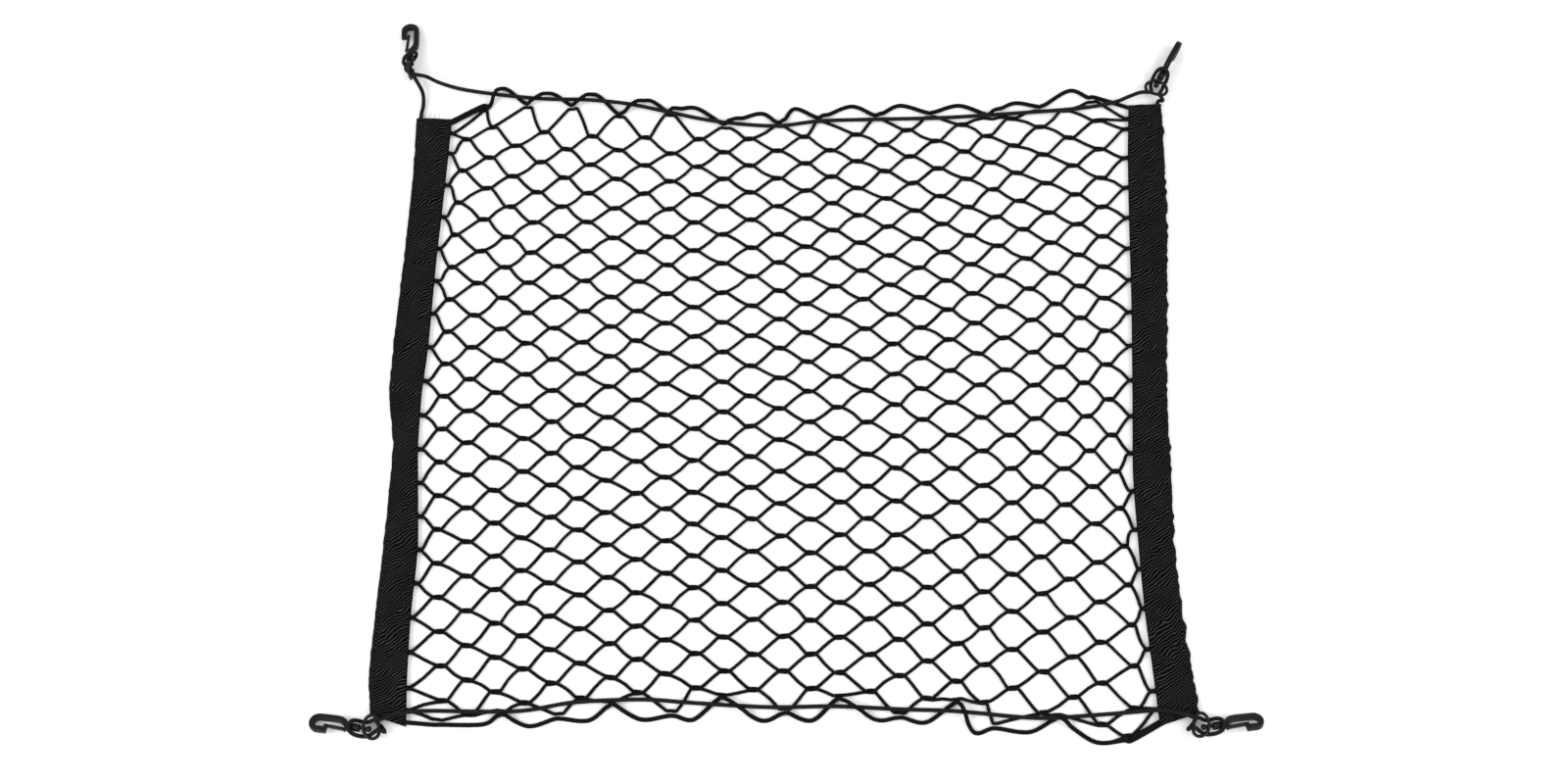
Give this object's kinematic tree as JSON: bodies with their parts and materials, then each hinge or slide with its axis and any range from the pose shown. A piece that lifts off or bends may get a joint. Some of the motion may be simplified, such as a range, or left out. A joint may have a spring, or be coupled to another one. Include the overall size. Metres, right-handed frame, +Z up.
{
  "type": "cargo net",
  "caption": "Rectangular elastic cargo net: diamond netting between two folded webbings, edged by an elastic loop with a swivel snap hook at each corner.",
  "frame": {"origin": "under the middle of the whole part, on the surface it lies on", "axes": "+X across the net from the left webbing to the right one, +Y along the webbings to the far edge, +Z up"},
  "size_m": [0.9712, 0.8299, 0.0284],
  "materials": {
    "netting_cord": "matte ribbed cord",
    "webbing_twill": "matte twill",
    "elastic_sheath": "braided sheath, slight sheen",
    "moulded_plastic": "satin"
  },
  "bodies": {
    "net": {"netting": "netting_cord", "webbing_left": "webbing_twill", "webbing_right": "webbing_twill", "elastic": "elastic_sheath", "eye_far_left": "moulded_plastic", "eye_far_right": "moulded_plastic", "eye_near_right": "moulded_plastic", "eye_near_left": "moulded_plastic"},
    "hook_far_left": {"hook_far_left": "moulded_plastic"},
    "gate_far_left": {"gate_far_left": "moulded_plastic"},
    "hook_far_right": {"hook_far_right": "moulded_plastic"},
    "gate_far_right": {"gate_far_right": "moulded_plastic"},
    "hook_near_right": {"hook_near_right": "moulded_plastic"},
    "gate_near_right": {"gate_near_right": "moulded_plastic"},
    "hook_near_left": {"hook_near_left": "moulded_plastic"},
    "gate_near_left": {"gate_near_left": "moulded_plastic"}
  },
  "joints": [
    {"name": "swivel_far_left", "type": "hinge", "parent": "net", "child": "hook_far_left", "pos_m": [-0.4273, 0.3581, 0.0146], "axis": [-0.0684, 0.9782, -0.1959], "continuous": true},
    {"name": "spring_gate_far_left", "type": "hinge", "parent": "hook_far_left", "child": "gate_far_left", "pos_m": [-0.43157, 0.37766, 0.01064], "axis": [0.0137, -0.1955, -0.9806], "range_deg": [0, 10], "stiffness_Nm_per_rad": 0.02, "springref_deg": -2.86},
    {"name": "swivel_far_right", "type": "hinge", "parent": "net", "child": "hook_far_right", "pos_m": [0.4217, 0.3371, 0.0112], "axis": [0.4847, 0.8744, -0.0244], "continuous": true},
    {"name": "spring_gate_far_right", "type": "hinge", "parent": "hook_far_right", "child": "gate_far_right", "pos_m": [0.43146, 0.3547, 0.00781], "axis": [0.8746, -0.4848, 0], "range_deg": [0, 10], "stiffness_Nm_per_rad": 0.02, "springref_deg": -2.86},
    {"name": "swivel_near_right", "type": "hinge", "parent": "net", "child": "hook_near_right", "pos_m": [0.4287, -0.4009, 0.0113], "axis": [0.9899, 0.1215, -0.0732], "continuous": true},
    {"name": "spring_gate_near_right", "type": "hinge", "parent": "hook_near_right", "child": "gate_near_right", "pos_m": [0.44911, -0.40092, 0.01127], "axis": [0.002, 0.504, 0.8637], "range_deg": [0, 10], "stiffness_Nm_per_rad": 0.02, "springref_deg": -2.86},
    {"name": "swivel_near_left", "type": "hinge", "parent": "net", "child": "hook_near_left", "pos_m": [-0.4288, -0.4029, 0.011], "axis": [-0.9859, 0.1386, -0.0941], "continuous": true},
    {"name": "spring_gate_near_left", "type": "hinge", "parent": "hook_near_left", "child": "gate_near_left", "pos_m": [-0.44918, -0.40282, 0.00999], "axis": [0.0456, -0.3185, -0.9468], "range_deg": [0, 10], "stiffness_Nm_per_rad": 0.02, "springref_deg": -2.86}
  ]
}
